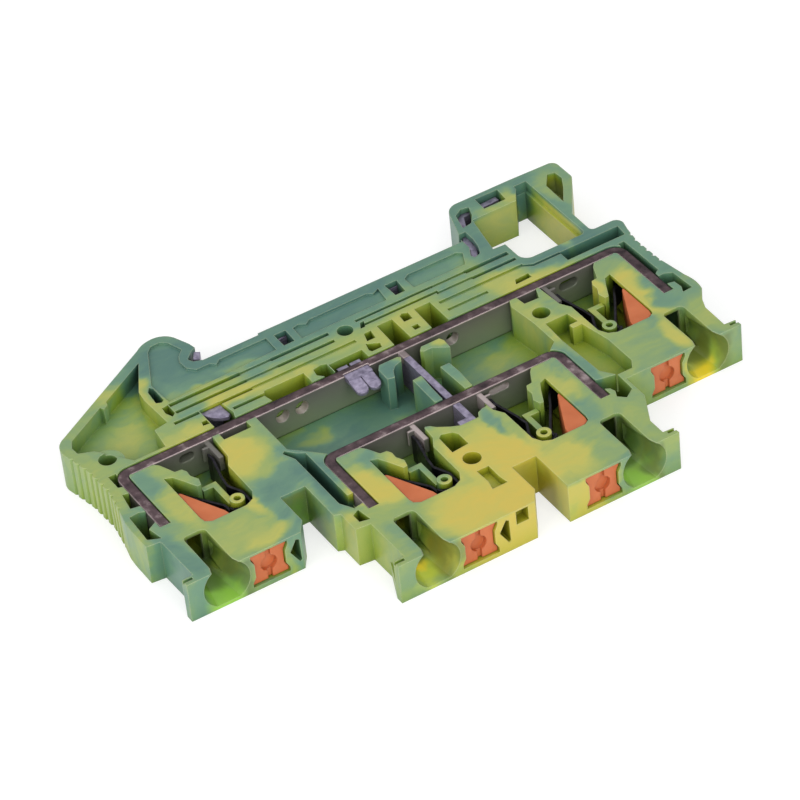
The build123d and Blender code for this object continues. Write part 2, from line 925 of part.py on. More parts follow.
with BuildPart() as lower_busbar:
    # Strip on edge with both legs bent towards the wire entries
    with BuildSketch(Plane.XY.offset(bar_low)):
        with BuildLine():
            FilletPolyline(*lower_bar_path, radius=bar_bend)
        trace(line_width=bar_thick)
    extrude(amount=bar_high - bar_low)

    # Notch for the earth clip and the two openings its ends pass through
    with BuildSketch(Plane.XY.offset(clip_low - 0.05)):
        with Locations((clip_x, lower_bar_y - bar_thick / 2)):
            Rectangle(clip_width + 0.1, 0.9)
    extrude(amount=thickness, mode=Mode.SUBTRACT)
    with BuildSketch(Plane.XZ.offset(-lower_bar_y - 1)):
        for tongue in (-1, 1):
            with Locations((clip_x + tongue * (tongue_width + tongue_gap) / 2, (clip_low + clip_high) / 2)):
                Rectangle(tongue_width - 0.1, clip_high - clip_low + 0.1)
    extrude(amount=2, mode=Mode.SUBTRACT)

    # Lug that meets the cross link
    with BuildSketch(Plane.XY.offset(4.0)):
        with Locations((link_x, lower_bar_y - 1.1)):
            Rectangle(link_thick, 1.4)
    extrude(amount=link_high - 4.0)

    # T-shaped lugs that hold the upper ends of the springs
    for name, ux, uy, side, bar_y in (units[0], units[3]):
        with BuildSketch(Plane.XY.offset(2.9)):
            with Locations((ux + side * 8.93, bar_y - 1.55)):
                Rectangle(0.6, 3.5)
            with Locations((ux + side * 8.5, bar_y - 0.85)):
                Rectangle(1.2, 0.3)
        extrude(amount=1.9)

    # Round holes and spring windows
    with BuildSketch(Plane.XZ.offset(-lower_bar_y - 1)):
        with Locations((-12.6, 3.5), (-10.1, 3.5), (9.8, 3.5)):
            Circle(0.85)
        with Locations((entry_a + 6.3, 3.9)):
            SlotOverall(1.9, 1.1)
        with Locations((entry_d - 5.6, 3.7)):
            SlotOverall(2.5, 1.3)
    extrude(amount=2, mode=Mode.SUBTRACT)
lower_busbar.part.label = "lower_busbar"
export_step(lower_busbar.part, "parts/lower_busbar.step")


with BuildPart() as upper_busbar:
    with BuildSketch(Plane.XY.offset(bar_low)):
        with BuildLine():
            FilletPolyline(*upper_bar_path, radius=bar_bend)
        trace(line_width=bar_thick)
    extrude(amount=bar_high - bar_low)

    # T-shaped lugs that hold the upper ends of the springs
    for name, ux, uy, side, bar_y in (units[1], units[2]):
        with BuildSketch(Plane.XY.offset(2.9)):
            with Locations((ux + side * 8.93, bar_y - 1.45)):
                Rectangle(0.6, 3.2)
            with Locations((ux + side * 8.5, bar_y - 0.8)):
                Rectangle(1.2, 0.3)
        extrude(amount=1.9)

    # Spring window beside the cross link
    with BuildSketch(Plane.XZ.offset(-upper_bar_y - 1)):
        with Locations((entry_c - 6.3, 4.2)):
            SlotOverall(2.7, 0.9)
    extrude(amount=2, mode=Mode.SUBTRACT)

    # Half lap under which the cross link passes
    with BuildSketch(Plane.XY):
        with Locations((link_x, upper_bar_y)):
            Rectangle(link_thick + 0.1, 2)
    extrude(amount=lap_z, mode=Mode.SUBTRACT)
upper_busbar.part.label = "upper_busbar"
export_step(upper_busbar.part, "parts/upper_busbar.step")


with BuildPart() as cross_link:
    # Strip on edge from the outer busbar, under the inner one, to its bent foot
    with BuildSketch(Plane.XY.offset(bar_low)):
        with BuildLine():
            Polyline(
                (link_x, lower_bar_y - bar_thick / 2 - 0.05),
                (link_x, y_front + 16.15),
                (1.5, y_front + 16.15),
            )
        trace(line_width=link_thick)
    extrude(amount=link_high - bar_low)
    with BuildSketch(Plane.XY.offset(lap_z - 0.05)):
        with Locations((link_x, upper_bar_y)):
            Rectangle(3, bar_thick + 0.1)
    extrude(amount=thickness, mode=Mode.SUBTRACT)
    with BuildSketch(Plane.XY.offset(3.95)):
        with Locations((link_x, lower_bar_y - 0.92)):
            Rectangle(3, 1.9)
    extrude(amount=thickness, mode=Mode.SUBTRACT)
cross_link.part.label = "cross_link"
export_step(cross_link.part, "parts/cross_link.step")


with BuildPart() as rail_contact:
    # Strip on edge: claw under the rail lip, run behind the seat, spring end in the foot
    with BuildSketch(Plane.XY.offset(contact_low)):
        with BuildLine():
            FilletPolyline(*contact_path, radius=contact_bend)
        trace(line_width=contact_thick)
    extrude(amount=contact_high - contact_low)
    with BuildSketch(Plane.XY.offset(contact_high - 0.5)):
        with BuildLine():
            Polyline(contact_path[0], contact_path[1])
        trace(line_width=contact_thick)
    extrude(amount=claw_high - contact_high + 0.5)
rail_contact.part.label = "rail_contact"
export_step(rail_contact.part, "parts/rail_contact.step")


with BuildPart() as earth_clip:
    # Side profile: band let into the busbar, sloping tongues in front, flat ends behind
    with BuildSketch(Plane.YZ.offset(clip_x - clip_width / 2)):
        with BuildLine():
            Polyline(
                (lower_bar_y - 0.24, clip_high + 0.25),
                (lower_bar_y - 1.3, clip_high + 0.25),
                (lower_bar_y - 1.4, clip_high),
                (lower_bar_y - 3.6, clip_high - 0.4),
                (lower_bar_y - 3.6, clip_low - 0.4),
                (lower_bar_y - 1.4, clip_low),
                (lower_bar_y + 1.5, clip_low),
                (lower_bar_y + 1.5, clip_high),
                (lower_bar_y - 0.24, clip_high),
                close=True,
            )
        make_face()
    extrude(amount=clip_width)

    # Outline seen from above: two round-ended tongues and two square ends
    with BuildSketch():
        with Locations((clip_x, lower_bar_y - 0.8)):
            Rectangle(clip_width, 1.12)
        for tongue in (-1, 1):
            with Locations((clip_x + tongue * (tongue_width + tongue_gap) / 2, lower_bar_y - 2.2)):
                SlotOverall(2.8, tongue_width, rotation=90)
            with Locations((clip_x + tongue * (tongue_width + tongue_gap) / 2, lower_bar_y + 0.6)):
                Rectangle(tongue_width - 0.2, 1.8)
    extrude(amount=thickness, mode=Mode.INTERSECT)
earth_clip.part.label = "earth_clip"
export_step(earth_clip.part, "parts/earth_clip.step")


with BuildPart() as strap_end:
    # Round-ended tongue of sheet metal beside the outer busbar
    with BuildSketch(Plane.XY.offset(4.3)):
        with BuildLine():
            Line((-20.35, 10.3), (-20.2, 9.9))
            ThreePointArc((-20.2, 9.9), (-19.4, 8.75), (-18.1, 8.1))
            Polyline((-18.1, 8.1), (-17.75, 8.4), (-17.9, 10.45), (-20.35, 10.45), (-20.35, 10.3))
        make_face()
    extrude(amount=0.5)
    with BuildSketch(Plane.XY.offset(floor)):
        with Locations((-19.1, 10.2)):
            Rectangle(2.2, 0.5)
    extrude(amount=4.3 - floor)
strap_end.part.label = "strap_end"
export_step(strap_end.part, "parts/strap_end.step")


for name, ux, uy, side, bar_y in units:
    with BuildPart() as spring:
        # Flat spring bent round the post: back leg, loop and clamping leg
        with BuildSketch(Plane.XY.offset(spring_low)):
            with BuildLine():
                FilletPolyline(*[(ux + side * u, uy + v) for u, v in spring_path], radius=0.4)
            trace(line_width=spring_thick)
        extrude(amount=spring_high - spring_low)

        # The clamping leg is lower than the back leg, so it passes under the roof
        with BuildSketch(Plane.XY.offset(wire_roof - 0.7)):
            with Locations((ux + side * 2.0, uy + 13.2)):
                Rectangle(8.0, 8.6)
        extrude(amount=thickness, mode=Mode.SUBTRACT)
        with BuildSketch():
            with Locations((ux + side * 2.0, uy + 13.2)):
                Rectangle(8.0, 8.6)
        extrude(amount=wire_floor + 0.1, mode=Mode.SUBTRACT)
    spring.part.label = "spring_" + name
    export_step(spring.part, "parts/spring_" + name + ".step")


for name, ux, uy, side, bar_y in units:
    near = window_near + button_clear
    far = window_far - button_clear
    low = window_low + button_clear
    high = window_high - button_clear
    with BuildPart() as button:
        # Waisted head
        with BuildSketch(Plane.XZ.offset(-uy - button_face)):
            with BuildLine():
                Polyline(
                    *[
                        (ux + side * u, z)
                        for u, z in (
                            (near, low),
                            (near, low + 0.5),
                            (near + window_waist, low + 1.2),
                            (near + window_waist, high - 1.2),
                            (near, high - 0.4),
                            (near, high),
                            (far, high),
                            (far, high - 0.4),
                            (far - window_waist, high - 1.2),
                            (far - window_waist, low + 1.2),
                            (far, low + 0.5),
                            (far, low),
                        )
                    ],
                    close=True,
                )
            make_face()
        extrude(amount=-3.2)

        # Shank behind the head
        with BuildSketch(Plane.XY.offset(button_body_low)):
            with BuildLine():
                Polyline(
                    *[
                        (ux + side * u, uy + v)
                        for u, v in (
                            (3.6, 3.4),
                            (6.6, 3.4),
                            (6.2, 5.0),
                            (4.9, 6.6),
                            (4.9, 8.0),
                            (2.05, 8.0),
                            (2.05, 7.0),
                            (2.8, 4.9),
                        )
                    ],
                    close=True,
                )
            make_face()
        extrude(amount=button_body_high - button_body_low)

        # Wedge that reaches into the clamp bay
        with BuildSketch(Plane.XY.offset(button_body_low)):
            with BuildLine():
                Polyline(
                    *[
                        (ux + side * u, uy + v)
                        for u, v in (
                            (4.9, 7.55),
                            (4.75, 8.3),
                            (2.25, 13.6),
                            (2.0, 13.8),
                            (1.95, 13.5),
                            (1.95, 8.6),
                            (2.1, 7.95),
                            (2.75, 7.55),
                        )
                    ],
                    close=True,
                )
            make_face()
        extrude(amount=button_end_high - button_body_low)

        # Screwdriver groove and round dimple in the face
        middle = (window_near + window_far) / 2
        with BuildSketch(Plane.XZ.offset(-uy - button_face)):
            with Locations((ux + side * middle, (low + high) / 2)):
                Rectangle(0.6, high - low)
        extrude(amount=-0.35, mode=Mode.SUBTRACT)
        with BuildSketch(Plane.XZ.offset(-uy - button_face)):
            with Locations((ux + side * middle, (low + high) / 2)):
                Circle(1.0)
        extrude(amount=-0.6, mode=Mode.SUBTRACT)
    button.part.label = "button_" + name
    export_step(button.part, "parts/button_" + name + ".step")
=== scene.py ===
"""Earth terminal block on a pale table: the finish of every piece, the light and the camera.

Metres, in the part's own frame: +Z up through the thickness, +X along the length,
+Y from the wire entries to the rail.
"""
import math

import bpy
import numpy as np
from mathutils import Matrix, Vector

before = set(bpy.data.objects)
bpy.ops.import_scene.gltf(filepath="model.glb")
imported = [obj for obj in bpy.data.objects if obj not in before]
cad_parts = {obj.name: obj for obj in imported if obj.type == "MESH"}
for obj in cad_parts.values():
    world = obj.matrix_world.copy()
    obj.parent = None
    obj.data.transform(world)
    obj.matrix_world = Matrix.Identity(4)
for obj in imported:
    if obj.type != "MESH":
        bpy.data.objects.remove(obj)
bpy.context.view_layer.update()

# The camera. It looks down on the open side from the left of the wire entries, slightly
# rolled, through a long lens. The place and the angles were solved from straight edges.
camera_azimuth = math.radians(27.69)
camera_elevation = math.radians(39.37)
camera_roll = math.radians(6.43)
camera_place = Vector((-0.16190, -0.30703, 0.28817))
camera_lens = 181.09

forward = Vector((
    math.sin(camera_azimuth) * math.cos(camera_elevation),
    math.cos(camera_azimuth) * math.cos(camera_elevation),
    -math.sin(camera_elevation),
))
level_right = Vector((math.cos(camera_azimuth), -math.sin(camera_azimuth), 0))
level_up = level_right.cross(forward)
right = level_right * math.cos(camera_roll) - level_up * math.sin(camera_roll)
up = level_up * math.cos(camera_roll) + level_right * math.sin(camera_roll)
camera_data = bpy.data.cameras.new("camera")
camera_data.lens = camera_lens
camera_data.sensor_width = 36
camera_data.sensor_fit = "HORIZONTAL"
camera_data.clip_start = 0.01
camera_data.clip_end = 10
camera = bpy.data.objects.new("camera", camera_data)
turn = Matrix((right, up, -forward)).transposed()
camera.matrix_world = Matrix.Translation(camera_place) @ turn.to_4x4()
bpy.context.scene.collection.objects.link(camera)
bpy.context.scene.camera = camera


class Socket:
    """An output of a shader node, with arithmetic: each operator adds one Math node."""

    def __init__(self, tree, output):
        self.tree = tree
        self.output = output

    def _math(self, operation, first, second):
        node = self.tree.nodes.new("ShaderNodeMath")
        node.operation = operation
        for slot, value in zip(node.inputs, (first, second)):
            if isinstance(value, Socket):
                self.tree.links.new(value.output, slot)
            else:
                slot.default_value = value
        return Socket(self.tree, node.outputs[0])

    def __add__(self, other):
        return self._math("ADD", self, other)

    def __radd__(self, other):
        return self._math("ADD", other, self)

    def __sub__(self, other):
        return self._math("SUBTRACT", self, other)

    def __rsub__(self, other):
        return self._math("SUBTRACT", other, self)

    def __mul__(self, other):
        return self._math("MULTIPLY", self, other)

    def __rmul__(self, other):
        return self._math("MULTIPLY", other, self)

    def at_most(self, other):
        return self._math("MINIMUM", self, other)


class Shader:
    def __init__(self, name):
        self.material = bpy.data.materials.new(name)
        self.material.use_nodes = True
        self.tree = self.material.node_tree
        self.tree.nodes.clear()

    def add(self, kind, output=0, settings=None, **values):
        """A node of a kind: its settings are made first, then its sockets get values or links.

        A socket's name is written with underscores for its spaces, and with one more at
        its end where the second socket of that name is meant. A ramp's settings hold its
        stops, each as a place and a colour.
        """
        node = self.tree.nodes.new(kind)
        for key, value in (settings or {}).items():
            if key == "stops":
                ramp = node.color_ramp
                while len(ramp.elements) < len(value):
                    ramp.elements.new(0.5)
                for element, (place, colour) in zip(ramp.elements, value):
                    element.position = place
                    element.color = (*colour, 1)
            else:
                setattr(node, key, value)
        for key, value in values.items():
            wanted = key.replace("_", " ").strip()
            slots = [slot for slot in node.inputs if slot.name == wanted and slot.enabled]
            slot = slots[1] if key.endswith("_") else slots[0]
            if isinstance(value, Socket):
                self.tree.links.new(value.output, slot)
            else:
                slot.default_value = value
        return Socket(self.tree, node.outputs[output])

    def place(self):
        """A point's own place on its piece, in metres."""
        return self.add("ShaderNodeTexCoord", output=3)

    def noise(self, place, scale, detail=2.0, roughness=0.5, distortion=0.0, colour=False):
        """Fractal noise from 0 to 1 with so many features to the metre."""
        return self.add(
            "ShaderNodeTexNoise",
            output=1 if colour else 0,
            Vector=place,
            Scale=scale,
            Detail=detail,
            Roughness=roughness,
            Distortion=distortion,
        )

    def fade(self, value, start, end, **others):
        """A share that goes from 0 where the value is at start to 1 where it is at end."""
        return self.add("ShaderNodeMapRange", Value=value, From_Min=start, From_Max=end, **others)

    def ramp(self, share, *stops):
        """A colour that runs through these stops, each a place from 0 to 1 and a colour."""
        return self.add("ShaderNodeValToRGB", settings={"stops": stops}, Fac=share)

    def mix(self, share, under, over, blend="MIX"):
        """The colour under, with the colour over laid on it by a share from 0 to 1."""
        under, over = (c if isinstance(c, Socket) else (*c, 1) for c in (under, over))
        settings = {"data_type": "RGBA", "blend_type": blend}
        return self.add("ShaderNodeMix", output=2, settings=settings, Factor=share, A=under, B=over)

    def vector(self, operation, first, second, output=0):
        """One Vector Math node. Its output 1 is the one for a single number."""
        settings = {"operation": operation}
        return self.add(
            "ShaderNodeVectorMath", output=output, settings=settings, Vector=first, Vector_=second
        )

    def part_of(self, vector, axis):
        """The x, y or z of a vector."""
        return self.add("ShaderNodeSeparateXYZ", output="xyz".index(axis), Vector=vector)

    def rounded(self, radius, samples=4):
        """The normal of the surface with its edges rounded off by this radius."""
        return self.add("ShaderNodeBevel", settings={"samples": samples}, Radius=radius)

    def finish(self, surface):
        """The material, with this as its surface."""
        end = self.tree.nodes.new("ShaderNodeOutputMaterial")
        self.tree.links.new(surface.output, end.inputs["Surface"])
        return self.material


def paint(red, green, blue):
    """A colour as it looks on a screen, 0 to 255, in the linear values that light uses."""
    shade = np.array([red, green, blue]) / 255
    low = shade / 12.92
    high = ((shade + 0.055) / 1.055) ** 2.4
    return tuple(float(v) for v in np.where(shade <= 0.04045, low, high))


def dress(node, material):
    """Gives a CAD node's material slots this material."""
    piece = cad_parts[node]
    for slot in piece.material_slots:
        slot.material = material


# The table and the light. A pale table carries a soft shadow, and large soft lamps and
# a white room light the part evenly, so that a colour looks about as it is written.
table_size = 6.0
table_corners = ((-1, -1), (1, -1), (1, 1), (-1, 1))
table_grey = 0.50
table_glow_strength = 0.58
table_bounce = 0.85
room_strength = 0.50
# Name, place, size and power of each lamp
lamps = (
    ("lamp_over", (0.10, 0.24, 0.72), 0.90, 1.2),
    ("lamp_front", (-0.12, -0.72, 0.44), 0.90, 4.8),
    ("lamp_left", (-0.72, -0.15, 0.38), 0.80, 3.0),
)

table_mesh = bpy.data.meshes.new("table")
table_points = [(x * table_size, y * table_size, 0) for x, y in table_corners]
table_mesh.from_pydata(table_points, [], [(0, 1, 2, 3)])
table = bpy.data.objects.new("table", table_mesh)
bpy.context.scene.collection.objects.link(table)

# Rays that show the table see it nearly white, and rays that only carry light see it plain
table_shader = Shader("table_white")
table_rays = table_shader.tree.nodes.new("ShaderNodeLightPath")
seen_straight, seen_mirrored, seen_through = (
    Socket(table_shader.tree, table_rays.outputs[kind])
    for kind in ("Is Camera Ray", "Is Glossy Ray", "Is Transmission Ray")
)
table_seen = seen_straight + seen_mirrored + seen_through
table_matte = table_shader.add("ShaderNodeBsdfDiffuse", Color=(*[table_grey] * 3, 1))
table_glow = table_shader.add(
    "ShaderNodeEmission", Color=(1, 1, 1, 1), Strength=table_glow_strength
)
table_pale = table_shader.add("ShaderNodeAddShader", Shader=table_matte, Shader_=table_glow)
table_plain = table_shader.add("ShaderNodeBsdfDiffuse", Color=(*[table_bounce] * 3, 1))
table_whole = table_shader.add(
    "ShaderNodeMixShader", Fac=table_seen.at_most(1.0), Shader=table_plain, Shader_=table_pale
)
table.data.materials.append(table_shader.finish(table_whole))

room = bpy.data.worlds.new("room")
bpy.context.scene.world = room
room.use_nodes = True
room.node_tree.nodes["Background"].inputs["Color"].default_value = (1, 1, 1, 1)
room.node_tree.nodes["Background"].inputs["Strength"].default_value = room_strength

for lamp_name, lamp_place, lamp_size, lamp_power in lamps:
    lamp_data = bpy.data.lights.new(lamp_name, "AREA")
    lamp_data.shape = "DISK"
    lamp_data.size = lamp_size
    lamp_data.energy = lamp_power
    lamp = bpy.data.objects.new(lamp_name, lamp_data)
    lamp.location = lamp_place
    lamp.rotation_euler = (-Vector(lamp_place)).to_track_quat("-Z", "Y").to_euler()
    bpy.context.scene.collection.objects.link(lamp)

bpy.context.scene.view_settings.view_transform = "Standard"

# The housing. One injection moulding of a tough plastic, satin, in which green and
# yellow granules have run into each other and left soft swirls and thin streaks. Painted
# shade in its corners and slots, a painted glow in its funnels and a painted highlight on its
# edges are laid into its colour.
teal = paint(80, 118, 108)
green = paint(104, 141, 114)
lime = paint(142, 162, 94)
straw = paint(180, 178, 86)
yellow = paint(200, 178, 76)

# Swirls in millimetres: middle x and y, half size along x and y, and the tone that the
# plastic runs into there, from 0 for teal to 1 for yellow
swirls = (
    (-2.0, 18.5, 25.0, 4.6, 0.06),
    (-19.0, 20.5, 4.5, 6.0, 0.05),
    (20.5, 18.0, 1.9, 7.5, 0.10),
    (27.0, 24.8, 9.5, 1.9, 0.12),
    (31.6, 17.0, 1.2, 8.0, 0.22),
    (34.2, 21.5, 2.0, 3.4, 0.45),
    (29.0, 10.0, 9.0, 2.2, 0.08),
    (34.3, 3.0, 1.9, 8.0, 0.20),
    (-12.5, 15.0, 3.2, 0.9, 0.38),
    (-17.5, 13.2, 4.0, 1.0, 0.56),
    (-16.0, 10.6, 5.5, 1.7, 0.74),
    (-9.5, 8.8, 5.0, 1.2, 0.66),
    (-22.0, 11.0, 2.0, 2.2, 0.30),
    (-24.0, 8.1, 4.6, 1.3, 0.72),
    (-23.6, 15.6, 0.9, 5.5, 0.74),
    (-29.0, 14.0, 6.5, 5.0, 0.42),
    (-27.4, 13.7, 2.8, 2.6, 0.62),
    (-29.0, 19.8, 4.6, 1.1, 0.60),
    (-25.4, 18.2, 3.2, 1.6, 0.70),
    (-34.5, 12.0, 2.4, 3.4, 0.40),
    (-35.2, 5.5, 1.8, 6.0, 0.54),
    (-34.6, -9.5, 2.2, 5.0, 0.16),
    (-31.2, 3.2, 1.6, 2.4, 0.22),
    (-30.2, -2.8, 1.7, 3.6, 0.66),
    (-28.2, 4.8, 1.8, 1.8, 0.52),
    (-27.4, -9.2, 4.5, 2.2, 0.56),
    (-25.2, -12.2, 3.2, 1.5, 0.72),
    (-22.2, -10.3, 0.9, 2.4, 0.18),
    (-20.0, 1.3, 3.2, 3.9, 0.84),
    (-17.6, 4.2, 1.8, 1.4, 0.52),
    (-21.0, -7.0, 2.0, 2.0, 0.24),
    (-18.6, -5.6, 3.2, 2.2, 0.14),
    (-23.6, -5.0, 1.0, 3.0, 0.74),
    (-15.4, -7.5, 1.5, 7.5, 0.08),
    (-16.2, -18.4, 1.9, 5.0, 0.56),
    (-11.6, -12.5, 1.7, 4.4, 0.88),
    (-10.2, -7.4, 1.7, 1.7, 0.22),
    (-7.2, -10.8, 1.2, 1.8, 0.70),
    (-13.0, -17.2, 3.4, 1.3, 0.50),
    (-6.2, -21.5, 4.6, 4.2, 0.92),
    (-1.2, -14.5, 3.0, 5.5, 0.96),
    (3.6, -17.5, 3.4, 7.5, 0.95),
    (0.5, -23.0, 6.0, 3.5, 0.97),
    (5.2, -10.6, 0.9, 2.6, 0.22),
    (6.2, -13.4, 0.8, 2.4, 0.50),
    (-5.0, -16.0, 1.5, 1.5, 0.72),
    (8.3, -16.0, 1.5, 1.5, 0.72),
    (-6.4, -13.4, 1.2, 1.6, 0.52),
    (8.4, -13.2, 0.9, 1.4, 0.50),
    (-1.6, -8.3, 1.8, 1.0, 0.55),
    (9.0, -21.0, 3.8, 3.6, 0.80),
    (12.4, -19.2, 2.2, 1.8, 0.44),
    (12.6, -22.6, 1.2, 1.5, 0.44),
    (14.3, -11.0, 1.4, 3.8, 0.70),
    (13.8, -15.4, 2.0, 1.6, 0.28),
    (11.6, -7.6, 1.6, 1.5, 0.50),
    (17.6, -9.5, 1.3, 4.5, 0.20),
    (17.4, -21.0, 1.8, 4.5, 0.50),
    (19.4, -16.0, 1.5, 3.2, 0.40),
    (6.8, 9.6, 4.9, 2.5, 0.66),
    (8.6, 14.0, 2.2, 0.9, 0.34),
    (19.2, 9.3, 3.6, 1.6, 0.64),
    (21.6, 7.5, 5.2, 0.9, 0.74),
    (14.0, 8.6, 2.4, 1.5, 0.36),
    (19.3, 1.2, 1.9, 4.6, 0.58),
    (20.6, -3.2, 2.2, 2.6, 0.72),
    (20.4, -9.6, 1.9, 2.8, 0.40),
    (25.0, -9.8, 3.8, 1.9, 0.44),
    (30.8, -1.2, 1.7, 5.4, 0.82),
    (30.9, 4.8, 1.8, 1.5, 0.40),
    (27.2, 1.6, 1.3, 2.2, 0.78),
    (32.2, -4.6, 1.2, 1.3, 0.24),
    (29.7, -10.4, 1.0, 3.6, 0.76),
    (33.9, -10.8, 1.8, 3.2, 0.56),
    (25.4, 17.8, 3.6, 4.2, 0.66),
    (28.6, 22.6, 1.4, 2.4, 0.60),
    (29.3, 14.5, 1.3, 4.6, 0.78),
    (0.2, 3.6, 2.8, 2.0, 0.10),
    (1.9, -2.4, 1.3, 3.2, 0.12),
    (5.9, -0.6, 1.4, 3.6, 0.24),
    (7.6, 4.6, 1.4, 1.0, 0.70),
    (-15.4, -15.6, 1.1, 1.2, 0.66),
    (17.2, 2.6, 1.3, 3.4, 0.52),
)
# The same for the floors and walls below the open side. Some of these tones are partly painted
# light: they brighten the bottoms of the funnels and the foot's window, where light falls in.
deep_swirls_and_painted_light = (
    (-30.0, 18.2, 6.5, 2.0, 0.36),
    (-7.5, 2.6, 7.5, 3.6, 0.12),
    (-9.2, 3.6, 2.8, 1.2, 0.52),
    (9.5, 3.4, 3.0, 3.4, 0.30),
    (34.6, 21.0, 1.6, 3.2, 0.86),
    (14.2, 2.2, 3.2, 2.0, 0.54),
    (31.2, 16.5, 1.5, 6.5, 0.76),
    (26.5, 21.4, 5.4, 1.6, 0.60),
    (-20.0, -9.0, 2.6, 3.6, 0.46),
    (-31.2, -9.6, 1.9, 3.2, 0.44),
    (-31.0, -13.0, 2.4, 1.5, 0.47),
    (-11.6, -21.0, 1.9, 3.2, 0.44),
    (-12.0, -24.2, 2.4, 1.3, 0.60),
    (-11.6, -22.2, 1.4, 1.0, 0.98),
    (15.0, -21.0, 1.9, 3.2, 0.40),
    (15.0, -23.8, 2.4, 1.8, 0.46),
    (31.3, -9.6, 1.9, 3.2, 0.46),
    (32.4, -13.0, 1.6, 1.4, 0.58),
    (29.4, -13.0, 1.2, 1.2, 0.50),
    (30.8, -11.5, 1.4, 1.2, 1.00),
    (-3.0, -25.0, 5.0, 1.2, 0.92),
    (7.5, -25.0, 3.4, 1.2, 0.86),
    (4.0, -21.5, 2.2, 3.0, 0.90),
    (21.0, -6.0, 2.4, 6.5, 0.58),
    (-17.5, -18.0, 2.2, 4.0, 0.60),
)
# Painted light and shade on low walls: a bright painted glow in the funnels and the foot's window,
# where light comes in from outside, then painted shade in the slots, notch and gap. Middle, half
# size, and the colour
low_painted_light_and_shade = (
    (-31.4, -12.7, 2.4, 2.0, paint(142, 198, 66)),
    (-11.8, -23.9, 2.4, 2.0, paint(196, 208, 64)),
    (-11.8, -22.3, 1.2, 1.1, paint(238, 212, 40)),
    (14.8, -23.8, 2.4, 2.0, paint(146, 196, 72)),
    (31.2, -12.6, 2.4, 2.0, paint(156, 186, 66)),
    (30.5, -12.8, 1.7, 1.9, paint(240, 210, 40)),
    (35.6, 22.9, 1.6, 2.6, paint(162, 174, 106)),
    (-31.2, -10.2, 1.5, 1.5, paint(84, 116, 42)),
    (-11.6, -20.2, 1.5, 1.5, paint(84, 112, 42)),
    (15.0, -20.6, 1.5, 1.7, paint(88, 122, 46)),
    (31.3, -9.8, 1.5, 1.7, paint(106, 118, 42)),
    (-19.6, -9.0, 1.8, 2.8, paint(86, 128, 36)),
    (4.6, -20.2, 1.3, 2.8, paint(160, 148, 36)),
)
low_painted_light_share = 0.88
# Shade on the way down into the four slots, along the right wall of their funnels, and in the
# notch and the gap: middle, half size, and the share of the colour that is lost
funnel_mouths = ((-31.2, -13.95), (-11.6, -25.1), (15.05, -25.1), (31.25, -13.95))
shades = []
for mouth_x, mouth_y in funnel_mouths:
    shades.append((mouth_x, mouth_y + 5.7, 1.9, 2.7, 0.80))
    shades.append((mouth_x + 2.5, mouth_y + 2.0, 1.0, 3.0, 0.36))
shades.append((-19.2, -9.4, 2.0, 2.8, 0.42))
shades.append((4.4, -20.6, 1.6, 2.4, 0.30))

# How far from its middle a soft ellipse starts and is whole, in half sizes. The plan is
# squeezed along x by one of the stretches, so that the ellipse is nearly round in it
ellipse_edge = 1.45
ellipse_whole = 0.40
stretches = (0.25, 0.5, 1.0, 2.0, 4.0)
# How far a swirl takes the plastic to its own tone, the tone where no swirl is, and how much
# the broad noise and the streaks swing round it
swirl_share = 0.92
rest_tone = 0.40
broad_swing = 0.7
streak_swing = 0.26
# The bends of the plan: how far each one carries a point, and its features to the metre
bends = ((0.0030, 110.0), (0.0007, 520.0))
# Heights between which the swirls of the open side give way to the deeper ones, and between
# which the low painted light and shade comes in
below_start, below_whole = 0.0051, 0.0046
low_start, low_whole = 0.0044, 0.0028
# How wide a corner's shade is, how dark it gets, and what share of each colour it takes. The
# yellow plastic loses more blue than the teal. The pairs are where a share is 0 and is 1
corner_reach = 0.004
corner_darkest = 0.40
closed_corner, lit_corner = 0.08, 0.42
tinted_corner, clear_corner = 0.30, 0.92
teal_tone, yellow_tone = 0.15, 0.50
red_loss = 0.26
green_loss = 0.12
blue_loss = 0.15
blue_loss_yellow = 0.65
edge_radius = 0.00018
# Where the painted highlight on the edges starts and is whole, its colour and its share
rim_start, rim_whole = 0.985, 0.82
rim_highlight_colour = paint(214, 222, 176)
rim_highlight_share = 0.45
# Features to the metre of each noise, and the depth of the grain, which the buttons share
broad_scale = 130.0
streak_scale = 330.0
shine_scale = 260.0
grain_scale = 5200.0
grain_depth = 0.00005
grain_strength = 0.06

plastic = Shader("housing_plastic")
place = plastic.place()
bent = place
for reach, scale in bends:
    drift = plastic.noise(place, scale, distortion=0.6, colour=True)
    drift = plastic.vector("SUBTRACT", drift, (0.5, 0.5, 0.5))
    drift = plastic.add(
        "ShaderNodeVectorMath", settings={"operation": "SCALE"}, Vector=drift, Scale=2 * reach
    )
    bent = plastic.vector("ADD", bent, drift)
stretched = {s: plastic.vector("MULTIPLY", bent, (1 / s, 1, 0)) for s in stretches}
height = plastic.part_of(place, "z")
below = plastic.fade(height, below_start, below_whole)


def covered(middle_x, middle_y, along, across):
    """How much of a point lies in a soft ellipse of the bent plan, from 0 outside to 1 in it."""
    stretch = min(stretched, key=lambda choice: abs(math.log(choice * across / along)))
    middle = (middle_x / 1000 / stretch, middle_y / 1000, 0)
    away = plastic.vector("DISTANCE", stretched[stretch], middle, output=1)
    reach = math.sqrt(along * across / stretch) / 1000
    return plastic.fade(
        away,
        ellipse_edge * reach,
        ellipse_whole * reach,
        settings={"interpolation_type": "SMOOTHSTEP"},
    )


